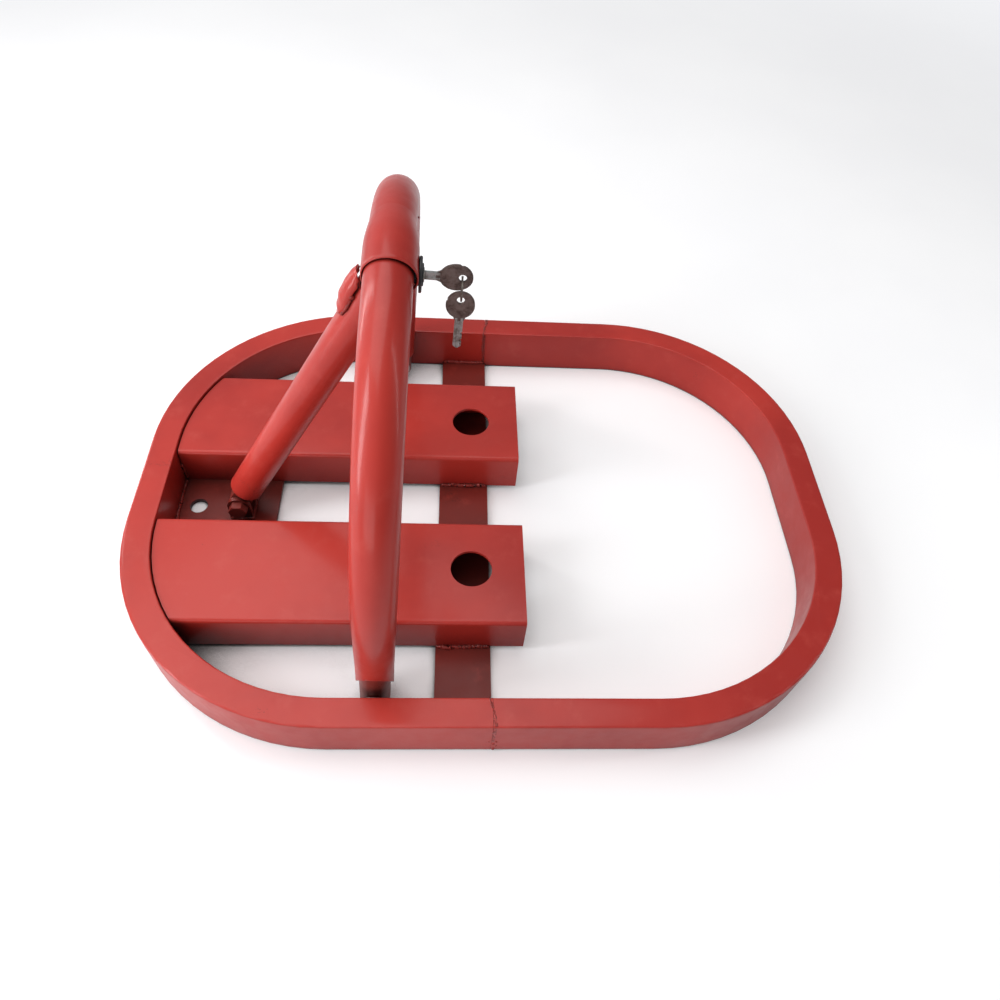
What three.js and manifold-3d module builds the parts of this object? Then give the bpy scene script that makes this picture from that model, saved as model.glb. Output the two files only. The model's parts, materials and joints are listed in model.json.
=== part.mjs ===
// Folding parking lock: an oval ground ring, two anchor covers, a fold-down hoop
// and a prop (brace) that a keyed cam lock holds to the hoop.
// Millimetres, +Z up, origin at the middle of the ring on the ground.
// +X is the side that the hoop and the brace fold down to.

import * as THREE from 'three';
import { mergeVertices } from 'three/addons/utils/BufferGeometryUtils.js';
import Module from 'manifold-3d';

const wasm = await Module();
wasm.setup();

// ---- driving dimensions -------------------------------------------------

const GAP = 0.3; // clearance between pieces that touch on the real lock

const RING_LENGTH = 680;
const RING_WIDTH = 500;
const RING_CORNER = 200;
const RAIL_WIDTH = 26;
const RAIL_HEIGHT = 51;
const RAIL_WALL = 2;
const RAIL_ROUND = 2;
const RING_SPLIT_X = -2; // where the two bent halves meet

const PLATE_THICKNESS = 5;
const STRAP_X = [-51, -0.5];
const ANCHOR_PLATE_END_X = -215;
const ANCHOR_PLATE_HALF_WIDTH = 147;
const ANCHOR_HOLE = { x: -295, radius: 8.6 };
const STRAP_HOLE_RADIUS = 7;

const COVER_END_X = 30;
const COVER_INNER_Y = 40;
const COVER_OUTER_Y = 149;
const COVER_PAIR_SHIFT = -6; // both covers sit this far towards -Y
const COVER_TOP = 48.3;
const COVER_WALL = 3;
const COVER_FOLD_RADIUS = 4;
const COVER_END_GAP = 1;
const ACCESS_HOLE = { x: -19.3, y: 92, radius: 19.2 };

const HOOP_PIVOT = { x: -101.3, z: 25 };
const HOOP_LEAN = THREE.MathUtils.degToRad(2.85);
const HOOP_TUBE_RADIUS = 17.5;
const HOOP_WALL = 2.5;
const HOOP_RISE = 299.5; // pivot to the middle of the tube at the top
// Each leg draws in to its foot. The foot's outer half is cut away on a slant, up to
// notchTop, and its inner half ends just above the pivot's washer, at z.
const HOOP_FOOT = { y: 204.5, z: 13, radius: 16, notchTop: 49 };
const HOOP_TAPER = { from: 49, length: 110 };
const PEG = { radius: 13.3, shoulder: 45, shank: 12.2, top: 67 };

const BOLT_RADIUS = 6;
const BOLT_HOLE_RADIUS = 6.5;
const BOLT_HEAD = { flats: 18, thickness: 8 };
const WASHER = { radius: 12, thickness: 2, hole: 6.4 };
const NUT = { flats: 19, thickness: 10, hole: 6.35 };

const SLEEVE = { from: -36, to: -9, outer: 20.1, inner: 18.4, drop: 0.25 };

const LOCK = { y: -21, z: 290.5 };
const BARREL = { radius: 8, bore: 5.7, from: 4, to: 24 };
const FLANGE = { radius: 12.8, hole: 8.3, from: 20.7, to: 23, chamfer: 0.8 };
const PLUG = { radius: 5.3, from: 2.8, to: 24.6, tailRadius: 3.5, tailEnd: -1.4 };
const CAM = { from: -1, to: 2.4, reach: 18, halfWidth: 2.5, hubRadius: 6, hole: 3.8 };
const CAM_SCREW = { radius: 4.6, thickness: 2.4, shank: 1.6, shankLength: 6, sides: 12 };
const KEYWAY = { thickness: 2.6, height: 8, from: 6.1 };
const KEY = { thickness: 2, tip: 6.5, point: 2.5, bladeHalf: 3.2, shoulderX: 32.7, holeX: 51.8, hole: 3 };
const KEY_BOW = { x: 47.2, halfLength: 12.1, halfWidth: 10.8, open: 2.7 };
const KEY_TEETH = { from: 3.5, pitch: 3.4, root: 1.2, flat: 1, depths: [1.9, 1.2, 1.9, 1.2] };
const KEY_RING = { radius: 8.5, wire: 0.9, slack: 0.9 };

const BRACE_PIVOT = { x: -249, z: 24 };
const BRACE_LEAN = THREE.MathUtils.degToRad(30);
const BRACE_RADIUS = 16;
const BRACE_WALL = 2.5;
const BRACE_START = 16;
const BRACE_END = 300;
const TANG = { halfWidth: 10, radius: 10, hole: 5.4 };
const BRACKET = { half: 11, inner: 10.4, outer: 14.9, floor: 4 };
const PIN = { radius: 5, hole: 5.4, nutHole: 5.3, head: 7.5, headFlats: 16, nutThickness: 8 };

// The saddle and the tongue, in the brace's own frame: x to its lower side, z along it.
// The saddle is a bowed strip on the upper side of the brace, its far end standing off.
const SADDLE_Y = [-11, 11];
const SADDLE = [
  [-16.4, 268],
  [-18.2, 266.5, -19.6, 269],
  [-23.4, 283, -23.6, 292],
  [-23.8, 300, -22.6, 307],
  [-20.6, 309.5, -19.4, 307],
  [-19.8, 300, -18.8, 295],
  [-16.4, 291],
];
// The tongue stands in the open mouth of the tube and reaches through the hoop's slot.
// Its slanted notch is where the cam turns in.
const TONGUE_Y = [-10, -6];
const TONGUE = [
  [-7.5, 272],
  [7.5, 272],
  [7.5, 301],
  [8, 304],
  [8, 342.5],
  [0.74, 343],
  [-5.1, 340.2],
  [0.11, 331.1],
  [-4.57, 328.4],
  [-7.2, 333],
  [-9, 332],
  [-9, 306],
  [-7.5, 303],
];
const TONGUE_SLOT = { radius: 345, y: [-11.2, -4.8], top: 297.8 };

// ---- solids -------------------------------------------------------------

function toSolid(geometry) {
  const bare = geometry.clone();
  bare.deleteAttribute('normal');
  bare.deleteAttribute('uv');
  const merged = mergeVertices(bare, 1e-4);
  const vertProperties = new Float32Array(merged.attributes.position.array);
  const triVerts = new Uint32Array(merged.index.array);
  return new wasm.Manifold(new wasm.Mesh({ numProp: 3, vertProperties, triVerts }));
}

function toGeometry(solid) {
  const mesh = solid.getMesh();
  const geometry = new THREE.BufferGeometry();
  geometry.setAttribute('position', new THREE.BufferAttribute(new Float32Array(mesh.vertProperties), 3));
  geometry.setIndex(new THREE.BufferAttribute(new Uint32Array(mesh.triVerts), 1));
  geometry.computeVertexNormals();
  return geometry;
}

function cut(geometry, ...tools) {
  return toGeometry(tools.reduce((solid, tool) => solid.subtract(toSolid(tool)), toSolid(geometry)));
}

function join(geometry, ...others) {
  return toGeometry(others.reduce((solid, other) => solid.add(toSolid(other)), toSolid(geometry)));
}

function common(geometry, tool) {
  return toGeometry(toSolid(geometry).intersect(toSolid(tool)));
}

function box(x, y, z) {
  const geometry = new THREE.BoxGeometry(x[1] - x[0], y[1] - y[0], z[1] - z[0]);
  return geometry.translate((x[0] + x[1]) / 2, (y[0] + y[1]) / 2, (z[0] + z[1]) / 2);
}

function rodZ(radius, from, to, segments = 24) {
  const geometry = new THREE.CylinderGeometry(radius, radius, to - from, segments);
  return geometry.rotateX(Math.PI / 2).translate(0, 0, (from + to) / 2);
}

function rodY(radius, from, to, segments = 24) {
  return rodZ(radius, from, to, segments).rotateX(-Math.PI / 2);
}

function rodX(radius, from, to, segments = 24) {
  return rodZ(radius, from, to, segments).rotateY(Math.PI / 2);
}

function tubeZ(outer, inner, from, to, segments = 24) {
  return cut(rodZ(outer, from, to, segments), rodZ(inner, from - 1, to + 1, segments));
}

// A flat-topped hexagon bar along Y, its size given across the flats.
function hexY(flats, from, to) {
  return rodY(flats / Math.sqrt(3), from, to, 6);
}

// An outline in (y, z) drawn out along X.
function extrudeX(shape, from, to, options = {}) {
  const geometry = new THREE.ExtrudeGeometry(shape, { depth: to - from, bevelEnabled: false, ...options });
  const axes = [new THREE.Vector3(0, 1, 0), new THREE.Vector3(0, 0, 1), new THREE.Vector3(1, 0, 0)];
  return geometry.applyMatrix4(new THREE.Matrix4().makeBasis(...axes)).translate(from, 0, 0);
}

// An outline in (x, z) drawn out along Y.
function extrudeY(shape, from, to, options = {}) {
  const geometry = new THREE.ExtrudeGeometry(shape, { depth: to - from, bevelEnabled: false, ...options });
  const axes = [new THREE.Vector3(1, 0, 0), new THREE.Vector3(0, 0, 1), new THREE.Vector3(0, -1, 0)];
  return geometry.applyMatrix4(new THREE.Matrix4().makeBasis(...axes)).translate(0, to, 0);
}

function mirrorY(geometry) {
  return geometry.clone().rotateZ(Math.PI);
}

// ---- scene graph --------------------------------------------------------

const group = new THREE.Group();

const hoopFrame = new THREE.Group();
hoopFrame.position.set(HOOP_PIVOT.x, 0, HOOP_PIVOT.z);
hoopFrame.rotation.y = HOOP_LEAN;
group.add(hoopFrame);

const lockFrame = new THREE.Group();
lockFrame.position.set(0, LOCK.y, LOCK.z);
hoopFrame.add(lockFrame);

const braceFrame = new THREE.Group();
braceFrame.position.set(BRACE_PIVOT.x, 0, BRACE_PIVOT.z);
braceFrame.rotation.y = BRACE_LEAN;
group.add(braceFrame);

const ENAMEL = { color: 0xb8433c, roughness: 0.42, metalness: 0 };
const ZINC = { color: 0x9a9a98, roughness: 0.4, metalness: 0.9 };
const BLACK = { color: 0x141416, roughness: 0.45, metalness: 0 };
const STEEL = { color: 0x77736e, roughness: 0.4, metalness: 0.9 };
const KEY_METAL = { color: 0x5a4c46, roughness: 0.5, metalness: 0.8 };

function place(parent, name, geometry, look) {
  const mesh = new THREE.Mesh(geometry, new THREE.MeshStandardMaterial(look));
  mesh.name = name;
  parent.add(mesh);
}

// ---- ground ring --------------------------------------------------------

// The ring's outline, moved inwards by inset.
function ringOutline(target, inset) {
  const a = RING_LENGTH / 2 - inset;
  const b = RING_WIDTH / 2 - inset;
  const r = RING_CORNER - inset;
  target.moveTo(a, -(b - r));
  target.lineTo(a, b - r);
  target.absarc(a - r, b - r, r, 0, Math.PI / 2, false);
  target.lineTo(-(a - r), b);
  target.absarc(-(a - r), b - r, r, Math.PI / 2, Math.PI, false);
  target.lineTo(-a, -(b - r));
  target.absarc(-(a - r), -(b - r), r, Math.PI, Math.PI * 1.5, false);
  target.lineTo(a - r, -b);
  target.absarc(a - r, -(b - r), r, Math.PI * 1.5, Math.PI * 2, false);
  return target;
}

function ringBand(outerInset, innerInset) {
  const shape = ringOutline(new THREE.Shape(), outerInset);
  shape.holes.push(ringOutline(new THREE.Path(), innerInset));
  return shape;
}

function ringSolid() {
  const outside = new THREE.ExtrudeGeometry(ringBand(0, RAIL_WIDTH), {
    depth: RAIL_HEIGHT - 2 * RAIL_ROUND,
    curveSegments: 10,
    bevelThickness: RAIL_ROUND,
    bevelSize: RAIL_ROUND,
    bevelOffset: -RAIL_ROUND,
    bevelSegments: 2,
  }).translate(0, 0, RAIL_ROUND);
  const hollow = new THREE.ExtrudeGeometry(ringBand(RAIL_WALL, RAIL_WIDTH - RAIL_WALL), {
    depth: RAIL_HEIGHT - 2 * RAIL_WALL,
    curveSegments: 5,
    bevelEnabled: false,
  }).translate(0, 0, RAIL_WALL);
  return toSolid(outside).subtract(toSolid(hollow));
}

// Two U bends of rectangular tube, butted together across the long sides.
function addRing() {
  const ring = ringSolid();
  const past = 1;
  const height = [-past, RAIL_HEIGHT + past];
  const reach = RING_LENGTH / 2 + past;
  const innerWall = RING_WIDTH / 2 - RAIL_WIDTH;
  const left = box([-reach, RING_SPLIT_X - GAP / 2], [-reach, reach], height);
  const right = box([RING_SPLIT_X + GAP / 2, reach], [-reach, reach], height);
  const boltHoles = [-1, 1].map((side) =>
    rodY(BOLT_HOLE_RADIUS, -RAIL_WALL * 2, RAIL_WALL * 2)
      .translate(HOOP_PIVOT.x, side * innerWall, HOOP_PIVOT.z));
  const leftHalf = toGeometry(ring.intersect(toSolid(left)));
  place(group, 'ring_left_half', cut(leftHalf, ...boltHoles), ENAMEL);
  place(group, 'ring_right_half', toGeometry(ring.intersect(toSolid(right))), ENAMEL);
}

// Everything inside the ring's inner wall, less a gap, up to the given height.
function insideRing(gap, height) {
  return new THREE.ExtrudeGeometry(ringOutline(new THREE.Shape(), RAIL_WIDTH + gap), {
    depth: height,
    curveSegments: 10,
    bevelEnabled: false,
  });
}

// ---- base plates and anchor covers --------------------------------------

function addPlates() {
  const strapHalf = RING_WIDTH / 2 - RAIL_WIDTH - GAP;
  const strapHoles = [-1, 1].map((side) =>
    rodZ(STRAP_HOLE_RADIUS, -1, PLATE_THICKNESS + 1)
      .translate(ACCESS_HOLE.x, side * ACCESS_HOLE.y + COVER_PAIR_SHIFT, 0));
  const strap = box(STRAP_X, [-strapHalf, strapHalf], [0, PLATE_THICKNESS]);
  place(group, 'cross_strap', cut(strap, ...strapHoles), ENAMEL);

  const half = ANCHOR_PLATE_HALF_WIDTH;
  const blank = box([-RING_LENGTH / 2, ANCHOR_PLATE_END_X], [-half, half], [0, PLATE_THICKNESS]);
  const hole = rodZ(ANCHOR_HOLE.radius, -1, PLATE_THICKNESS + 1).translate(ANCHOR_HOLE.x, 0, 0);
  const fitted = common(blank, insideRing(GAP, PLATE_THICKNESS));
  place(group, 'anchor_plate', cut(fitted, hole), ENAMEL);
}

// An inverted channel section in (y, z) with bent upper corners.
function coverSection() {
  const bottom = PLATE_THICKNESS + GAP;
  const r = COVER_FOLD_RADIUS;
  const inner = r - COVER_WALL;
  const shape = new THREE.Shape();
  shape.moveTo(COVER_INNER_Y, bottom);
  shape.lineTo(COVER_INNER_Y + COVER_WALL, bottom);
  shape.lineTo(COVER_INNER_Y + COVER_WALL, COVER_TOP - r);
  shape.absarc(COVER_INNER_Y + r, COVER_TOP - r, inner, Math.PI, Math.PI / 2, true);
  shape.lineTo(COVER_OUTER_Y - r, COVER_TOP - COVER_WALL);
  shape.absarc(COVER_OUTER_Y - r, COVER_TOP - r, inner, Math.PI / 2, 0, true);
  shape.lineTo(COVER_OUTER_Y - COVER_WALL, bottom);
  shape.lineTo(COVER_OUTER_Y, bottom);
  shape.lineTo(COVER_OUTER_Y, COVER_TOP - r);
  shape.absarc(COVER_OUTER_Y - r, COVER_TOP - r, r, 0, Math.PI / 2, false);
  shape.lineTo(COVER_INNER_Y + r, COVER_TOP);
  shape.absarc(COVER_INNER_Y + r, COVER_TOP - r, r, Math.PI / 2, Math.PI, false);
  return shape;
}

// The cover on the +Y side, moved out by the given shift.
function coverSolid(shift) {
  const blank = extrudeX(coverSection(), -RING_LENGTH / 2, COVER_END_X, { curveSegments: 2 });
  const fitted = common(blank.translate(0, shift, 0), insideRing(COVER_END_GAP, RAIL_HEIGHT));
  const hole = rodZ(ACCESS_HOLE.radius, COVER_TOP - 10, COVER_TOP + 1, 40);
  return cut(fitted, hole.translate(ACCESS_HOLE.x, ACCESS_HOLE.y + shift, 0));
}

function mirrorSolid(geometry) {
  const mirrored = geometry.clone().scale(1, -1, 1);
  const index = mirrored.index.array;
  for (let i = 0; i < index.length; i += 3) {
    [index[i], index[i + 1]] = [index[i + 1], index[i]];
  }
  mirrored.computeVertexNormals();
  return mirrored;
}

function addCovers() {
  place(group, 'anchor_cover_back', coverSolid(COVER_PAIR_SHIFT), ENAMEL);
  place(group, 'anchor_cover_front', mirrorSolid(coverSolid(-COVER_PAIR_SHIFT)), ENAMEL);
}

// ---- hoop ---------------------------------------------------------------

// Middle line of the hoop: two upright legs joined by a half circle.
// The legs run past the feet by the given excess.
class HoopLine extends THREE.Curve {
  constructor(excess = 0) {
    super();
    this.excess = excess;
    this.bend = HOOP_FOOT.y;
    this.centre = HOOP_RISE - this.bend;
    this.leg = this.centre - HOOP_FOOT.z;
    this.length = 2 * (excess + this.leg) + Math.PI * this.bend;
  }

  getPoint(t, target = new THREE.Vector3()) {
    const along = (t < 0.5 ? t : 1 - t) * this.length - this.excess;
    const side = t < 0.5 ? -1 : 1;
    if (along < this.leg) {
      return target.set(0, side * HOOP_FOOT.y, HOOP_FOOT.z + along);
    }
    const angle = (along - this.leg) / this.bend;
    return target.set(0, side * this.bend * Math.cos(angle), this.centre + this.bend * Math.sin(angle));
  }
}

const hoopLine = new HoopLine();

// The nearest point of the hoop's middle line, and how far along it is from the foot.
function nearestOnLine(point, target) {
  const side = Math.sign(point.y);
  const angle = Math.max(0, Math.atan2(point.z - hoopLine.centre, Math.abs(point.y)));
  if (angle > 0) {
    const y = side * hoopLine.bend * Math.cos(angle);
    target.set(0, y, hoopLine.centre + hoopLine.bend * Math.sin(angle));
    return hoopLine.leg + angle * hoopLine.bend;
  }
  target.set(0, side * HOOP_FOOT.y, point.z);
  return point.z - HOOP_FOOT.z;
}

// Draws each foot in to its smaller end radius.
function taperFeet(geometry) {
  const position = geometry.attributes.position;
  const point = new THREE.Vector3();
  const axisPoint = new THREE.Vector3();
  const end = HOOP_FOOT.radius / HOOP_TUBE_RADIUS;
  for (let i = 0; i < position.count; i += 1) {
    point.fromBufferAttribute(position, i);
    const along = nearestOnLine(point, axisPoint);
    const share = (along + HOOP_FOOT.z - HOOP_TAPER.from) / HOOP_TAPER.length;
    if (share < 1) {
      const scale = THREE.MathUtils.lerp(end, 1, Math.max(share, 0));
      point.sub(axisPoint).multiplyScalar(scale).add(axisPoint);
      position.setXYZ(i, point.x, point.y, point.z);
    }
  }
  return geometry;
}

function hoopRod(radius, sides, steps, excess) {
  const circle = new THREE.Shape().absarc(0, 0, radius, 0, Math.PI * 2, false);
  const extrudePath = new HoopLine(excess);
  const options = { extrudePath, curveSegments: sides, steps, bevelEnabled: false };
  return taperFeet(new THREE.ExtrudeGeometry(circle, options));
}

function hoopTube() {
  const boreExcess = 4;
  const outside = hoopRod(HOOP_TUBE_RADIUS, 12, 44, 0);
  const inside = hoopRod(HOOP_TUBE_RADIUS - HOOP_WALL, 12, 36, boreExcess);
  const notch = footNotch();
  return cut(outside, inside, barrelHole(), tongueSlot(), notch, mirrorY(notch));
}

// What is cut from the outer half of the back foot, in (y, z).
function footNotch() {
  const { y, z, radius, notchTop } = HOOP_FOOT;
  const past = 10;
  const slope = (notchTop - z - 1) / radius;
  const shape = new THREE.Shape();
  shape.moveTo(y, z + 1);
  shape.lineTo(y, z - past);
  shape.lineTo(y + radius + past, z - past);
  shape.lineTo(y + radius + past, z + 1 + (radius + past) * slope);
  return extrudeX(shape, -radius - past, radius + past);
}

// The hole that the lock barrel stands in, through the +X wall.
function barrelHole() {
  return rodX(BARREL.radius + GAP, 2, SLEEVE.outer + 1).translate(0, LOCK.y, LOCK.z);
}

// The slot across the underside that the brace's tongue swings through:
// every place within its reach of the brace's pivot, below the slot's top.
function tongueSlot() {
  const { radius, y, top } = TONGUE_SLOT;
  const disc = rodY(radius, y[0], y[1], 180);
  const dx = BRACE_PIVOT.x - HOOP_PIVOT.x;
  const dz = BRACE_PIVOT.z - HOOP_PIVOT.z;
  disc.translate(dx, 0, dz).rotateY(-HOOP_LEAN);
  const reach = 60;
  return common(disc, box([-reach, reach], [y[0] - 1, y[1] + 1], [top - reach, top]));
}

function footPlug() {
  const peg = rodZ(PEG.radius, -PEG.radius, PEG.shoulder, 28);
  const shank = rodZ(PEG.shank, PEG.shoulder - 2, PEG.top);
  const body = join(peg, shank).translate(0, HOOP_FOOT.y, 0);
  return cut(body, rodY(BOLT_HOLE_RADIUS, HOOP_FOOT.y - 2 * PEG.radius, HOOP_FOOT.y + 2 * PEG.radius));
}

function sleeve() {
  const middle = (SLEEVE.from + SLEEVE.to) / 2;
  const angle = Math.asin(middle / hoopLine.bend);
  const half = (SLEEVE.to - SLEEVE.from) / 2 / Math.cos(angle);
  const z = hoopLine.centre + hoopLine.bend * Math.cos(angle) - SLEEVE.drop;
  const shell = cut(rodY(SLEEVE.outer, -half, half, 40), rodY(SLEEVE.inner, -half - 1, half + 1, 40));
  const placed = shell.rotateX(-angle).translate(0, middle, z);
  return cut(placed, barrelHole(), tongueSlot());
}

function addHoop() {
  place(hoopFrame, 'hoop_tube', hoopTube(), ENAMEL);
  place(hoopFrame, 'lock_sleeve', sleeve(), ENAMEL);
  const plug = footPlug();
  place(hoopFrame, 'foot_plug_back', plug, ENAMEL);
  place(hoopFrame, 'foot_plug_front', mirrorY(plug), ENAMEL);
}

// A pivot bolt lies along Y: head, washer, peg, spacer, rail wall, captive nut.
function addPivot(side, name) {
  const wall = RING_WIDTH / 2 - RAIL_WIDTH;
  const pegOuter = HOOP_FOOT.y + PEG.radius;
  const pegInner = HOOP_FOOT.y - PEG.radius;
  const washerFrom = pegInner - GAP - WASHER.thickness;
  const headTo = washerFrom - GAP;
  const nutFrom = wall + RAIL_WALL + GAP;
  const head = hexY(BOLT_HEAD.flats, headTo - BOLT_HEAD.thickness, headTo);
  const shank = rodY(BOLT_RADIUS, headTo - 1, nutFrom + NUT.thickness + 3);
  const spacer = cut(rodY(WASHER.radius, pegOuter + GAP, wall - GAP), rodY(WASHER.hole, pegOuter, wall));
  const washer = cut(rodY(WASHER.radius, washerFrom, pegInner - GAP), rodY(WASHER.hole, headTo, pegInner));
  const nutBore = rodY(NUT.hole, nutFrom - 1, nutFrom + NUT.thickness + 1);
  const nut = cut(hexY(NUT.flats, nutFrom, nutFrom + NUT.thickness), nutBore);
  const pieces = {
    pivot_bolt: join(head, shank),
    pivot_spacer: spacer,
    pivot_washer: washer,
    pivot_nut: nut,
  };
  for (const [piece, geometry] of Object.entries(pieces)) {
    const turned = side < 0 ? mirrorY(geometry) : geometry;
    place(group, `${piece}_${name}`, turned.translate(HOOP_PIVOT.x, 0, HOOP_PIVOT.z), ZINC);
  }
}

// ---- lock ---------------------------------------------------------------

// Rounds the rim of a disc that turns about X.
function flange() {
  const { radius, hole, from, to, chamfer } = FLANGE;
  const profile = [
    new THREE.Vector2(hole, from),
    new THREE.Vector2(radius, from),
    new THREE.Vector2(radius, to - chamfer),
    new THREE.Vector2(radius - chamfer, to),
    new THREE.Vector2(hole, to),
    new THREE.Vector2(hole, from),
  ];
  return new THREE.LatheGeometry(profile, 32).rotateZ(-Math.PI / 2);
}

function keywaySlot() {
  const { thickness, height, from } = KEYWAY;
  return box([from, PLUG.to + 1], [-thickness / 2, thickness / 2], [-height / 2, height / 2]);
}

function lockPlug() {
  const barrel = rodX(PLUG.radius, PLUG.from, PLUG.to);
  const tail = rodX(PLUG.tailRadius, PLUG.tailEnd, PLUG.from + 1);
  const screwReach = PLUG.tailEnd + CAM_SCREW.shankLength + 0.5;
  const screwHole = rodX(CAM_SCREW.shank + 0.2, PLUG.tailEnd - 1, screwReach, CAM_SCREW.sides);
  return cut(join(barrel, tail), keywaySlot(), screwHole);
}

// The cam: a round hub with a finger that points up while the lock is open.
function cam() {
  const hub = rodX(CAM.hubRadius, CAM.from, CAM.to);
  const finger = box([CAM.from, CAM.to], [-CAM.halfWidth, CAM.halfWidth], [0, CAM.reach]);
  return cut(join(hub, finger), rodX(CAM.hole, CAM.from - 1, CAM.to + 1));
}

function camScrew() {
  const headTo = PLUG.tailEnd - GAP;
  const head = rodX(CAM_SCREW.radius, headTo - CAM_SCREW.thickness, headTo);
  const shank = rodX(CAM_SCREW.shank, headTo - 1, PLUG.tailEnd + CAM_SCREW.shankLength, CAM_SCREW.sides);
  return join(head, shank);
}

// Key outline in (x, z): tip, cut blade, shoulders and a round bow with a hole.
function keyShape() {
  const { tip, point, bladeHalf, shoulderX, holeX, hole } = KEY;
  const { x: bowX, halfLength, halfWidth, open } = KEY_BOW;
  const { from, pitch, root, flat, depths } = KEY_TEETH;
  const shape = new THREE.Shape();
  shape.moveTo(tip, 0);
  shape.lineTo(tip + point, -bladeHalf);
  depths.forEach((depth, i) => {
    const x = tip + from + i * pitch;
    shape.lineTo(x, -bladeHalf);
    shape.lineTo(x + root, -bladeHalf + depth);
    shape.lineTo(x + root + flat, -bladeHalf + depth);
  });
  shape.lineTo(tip + from + depths.length * pitch, -bladeHalf);
  shape.lineTo(shoulderX, -bladeHalf);
  shape.absellipse(bowX, 0, halfLength, halfWidth, -open, open, false, 0);
  shape.lineTo(shoulderX, bladeHalf);
  shape.lineTo(tip + point, bladeHalf);
  shape.holes.push(new THREE.Path().absarc(holeX, 0, hole, 0, Math.PI * 2, true));
  return shape;
}

function key() {
  return extrudeY(keyShape(), -KEY.thickness / 2, KEY.thickness / 2, { curveSegments: 9 });
}

// The spare hangs from the ring by its eye, blade down, turned to face the front.
function spareKey() {
  const drop = 2 * (KEY.hole - KEY_RING.wire - KEY_RING.slack) + 2 * KEY_RING.radius;
  const hung = key().translate(-KEY.holeX, 0, 0).rotateY(-Math.PI / 2);
  return hung.translate(KEY.holeX, 0, -drop);
}

function keyRing() {
  const rest = KEY.hole - KEY_RING.wire - KEY_RING.slack;
  const ring = new THREE.TorusGeometry(KEY_RING.radius, KEY_RING.wire, 8, 28);
  return ring.rotateY(Math.PI / 2).translate(KEY.holeX, 0, -rest - KEY_RING.radius);
}

function addLock() {
  const bore = rodX(BARREL.bore, BARREL.from - 1, BARREL.to + 1);
  const barrel = cut(rodX(BARREL.radius, BARREL.from, BARREL.to), bore);
  place(lockFrame, 'lock_barrel', barrel, BLACK);
  place(lockFrame, 'lock_flange', flange(), BLACK);
  place(lockFrame, 'lock_plug', lockPlug(), STEEL);
  place(lockFrame, 'lock_cam', cam(), STEEL);
  place(lockFrame, 'cam_screw', camScrew(), ZINC);
  place(lockFrame, 'lock_key', key(), KEY_METAL);
  place(lockFrame, 'key_ring', keyRing(), STEEL);
  place(lockFrame, 'spare_key', spareKey(), KEY_METAL);
}

// ---- brace --------------------------------------------------------------

function bracketEar(from, to) {
  const floor = PLATE_THICKNESS + GAP;
  const shape = new THREE.Shape();
  shape.moveTo(-BRACKET.half, floor);
  shape.lineTo(BRACKET.half, floor);
  shape.lineTo(BRACKET.half, BRACE_PIVOT.z);
  shape.absarc(0, BRACE_PIVOT.z, BRACKET.half, 0, Math.PI, false);
  return extrudeY(shape, from, to, { curveSegments: 8 });
}

function bracket() {
  const floor = PLATE_THICKNESS + GAP;
  const { half, outer, inner } = BRACKET;
  const base = box([-half, half], [-outer, outer], [floor, floor + BRACKET.floor]);
  const ears = [bracketEar(-outer, -inner), bracketEar(inner, outer)];
  const hole = rodY(PIN.hole, -outer - 1, outer + 1).translate(0, 0, BRACE_PIVOT.z);
  return cut(join(base, ...ears), hole);
}

function bracePin() {
  const headTo = -BRACKET.outer - GAP;
  const head = hexY(PIN.headFlats, headTo - PIN.head, headTo);
  return join(head, rodY(PIN.radius, headTo - 1, BRACKET.outer + PIN.nutThickness + 4));
}

function pinNut() {
  const from = BRACKET.outer + GAP;
  const to = from + PIN.nutThickness;
  return cut(hexY(PIN.headFlats, from, to), rodY(PIN.nutHole, from - 1, to + 1));
}

// The brace's foot: a flat tang between the ears, and a round shank in the tube.
function footTang() {
  const shape = new THREE.Shape();
  shape.moveTo(TANG.radius, 0);
  shape.lineTo(TANG.radius, BRACE_START - GAP);
  shape.lineTo(-TANG.radius, BRACE_START - GAP);
  shape.lineTo(-TANG.radius, 0);
  shape.absarc(0, 0, TANG.radius, Math.PI, Math.PI * 2, false);
  const tang = extrudeY(shape, -TANG.halfWidth, TANG.halfWidth, { curveSegments: 8 });
  const shankRadius = BRACE_RADIUS - BRACE_WALL - 0.5;
  const shank = rodZ(shankRadius, BRACE_START - 2, BRACE_START + 18);
  return cut(join(tang, shank), rodY(TANG.hole, -BRACE_RADIUS, BRACE_RADIUS));
}

// A closed outline in the brace's own frame, from [x, z] points, drawn out along Y.
// A point with four numbers is a curve's control point and then its end.
function braceProfile(points, y) {
  const shape = new THREE.Shape();
  const [start, ...others] = points;
  shape.moveTo(...start);
  others.forEach((point) => (point.length > 2 ? shape.quadraticCurveTo(...point) : shape.lineTo(...point)));
  return extrudeY(shape, y[0], y[1], { curveSegments: 6 });
}

function addBrace() {
  const bore = BRACE_RADIUS - BRACE_WALL;
  place(braceFrame, 'brace_tube', tubeZ(BRACE_RADIUS, bore, BRACE_START, BRACE_END, 32), ENAMEL);
  place(braceFrame, 'brace_foot', footTang(), ENAMEL);
  place(braceFrame, 'brace_saddle', braceProfile(SADDLE, SADDLE_Y), ENAMEL);
  place(braceFrame, 'lock_tongue', braceProfile(TONGUE, TONGUE_Y), STEEL);
  const at = [BRACE_PIVOT.x, 0, BRACE_PIVOT.z];
  place(group, 'brace_bracket', bracket().translate(BRACE_PIVOT.x, 0, 0), ENAMEL);
  place(group, 'brace_pin', bracePin().translate(...at), ENAMEL);
  place(group, 'brace_pin_nut', pinNut().translate(...at), ENAMEL);
}

addRing();
addPlates();
addCovers();
addHoop();
addPivot(-1, 'front');
addPivot(1, 'back');
addLock();
addBrace();

export default group;
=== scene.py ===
import json
import math
import random

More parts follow.
